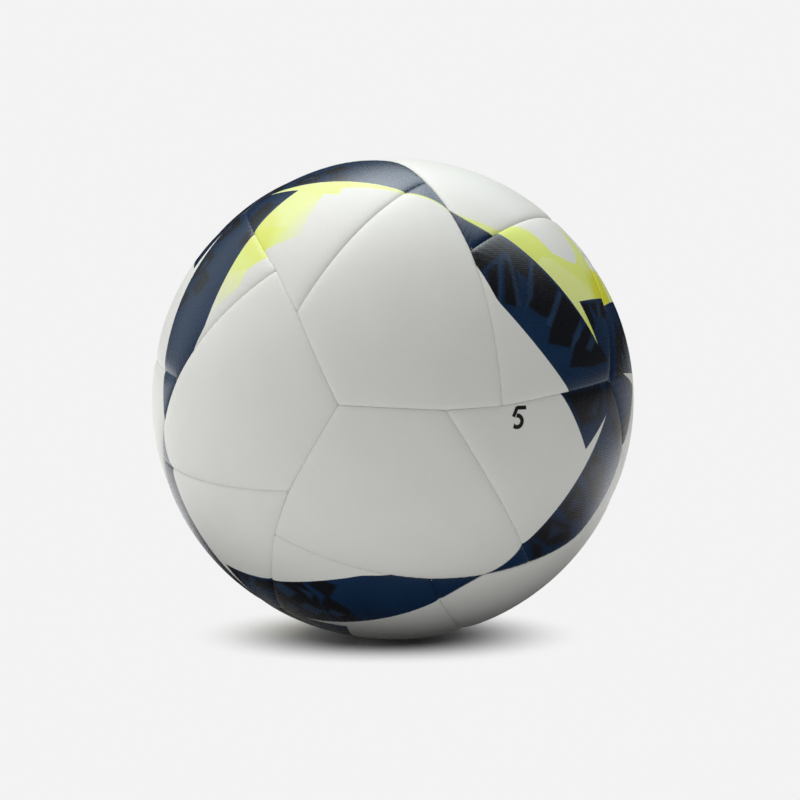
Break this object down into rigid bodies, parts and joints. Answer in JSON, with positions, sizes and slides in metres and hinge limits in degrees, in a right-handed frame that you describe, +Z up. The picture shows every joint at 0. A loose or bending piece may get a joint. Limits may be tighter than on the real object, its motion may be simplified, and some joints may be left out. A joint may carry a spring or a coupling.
{
  "type": "soccer ball",
  "caption": "Size 5 soccer ball: a stitched and bonded panel cover in a twisted tetrahedral plan over foam, lining and bladder, with a recessed valve.",
  "frame": {"origin": "centre of the ball", "axes": "+Z up as the ball stands in its display pose, -Y the side it is shown from, +X to the viewer's right; the valve is at the back left, a little over the middle"},
  "size_m": [0.2196, 0.2196, 0.2196],
  "materials": {
    "plain_cover": "satin off-white coated synthetic leather with a fine embossed grain; a navy tip of the print reaches each panel's narrow corner",
    "band_cover": "satin off-white coated synthetic leather printed with a navy and black shard band, some fields edged in neon yellow",
    "foam": "closed-cell foam",
    "thread": "waxed polyester thread",
    "tape": "heat-bonded seam tape",
    "lining": "laminated polyester-cotton plain weave",
    "bladder": "smooth butyl rubber",
    "valve_rubber": "matt moulded butyl rubber",
    "valve_core": "smooth silicone rubber"
  },
  "bodies": {
    "root": {"plain_panel_01": "plain_cover", "plain_panel_02": "plain_cover", "plain_panel_03": "plain_cover", "plain_panel_04": "plain_cover", "plain_panel_05": "plain_cover", "plain_panel_06": "plain_cover", "plain_panel_07": "plain_cover", "plain_panel_08": "plain_cover", "plain_panel_09": "plain_cover", "plain_panel_10": "plain_cover", "plain_panel_11": "plain_cover", "plain_panel_12": "plain_cover", "band_panel_01": "band_cover", "band_panel_02": "band_cover", "band_panel_03": "band_cover", "band_panel_04": "band_cover", "band_panel_05": "band_cover", "band_panel_06": "band_cover", "band_panel_07": "band_cover", "band_panel_08": "band_cover", "band_panel_09": "band_cover", "band_panel_10": "band_cover", "band_panel_11": "band_cover", "band_panel_12": "band_cover", "plain_foam_01": "foam", "band_foam_01": "foam", "plain_foam_02": "foam", "band_foam_02": "foam", "plain_foam_03": "foam", "band_foam_03": "foam", "plain_foam_04": "foam", "band_foam_04": "foam", "plain_foam_05": "foam", "band_foam_05": "foam", "plain_foam_06": "foam", "band_foam_06": "foam", "plain_foam_07": "foam", "band_foam_07": "foam", "plain_foam_08": "foam", "band_foam_08": "foam", "plain_foam_09": "foam", "band_foam_09": "foam", "plain_foam_10": "foam", "band_foam_10": "foam", "plain_foam_11": "foam", "band_foam_11": "foam", "plain_foam_12": "foam", "band_foam_12": "foam", "seam_thread": "thread", "seam_tape": "tape", "lining": "lining", "valve_patch": "lining", "bladder": "bladder", "valve_boot": "valve_rubber", "valve_core": "valve_core"}
  },
  "joints": []
}
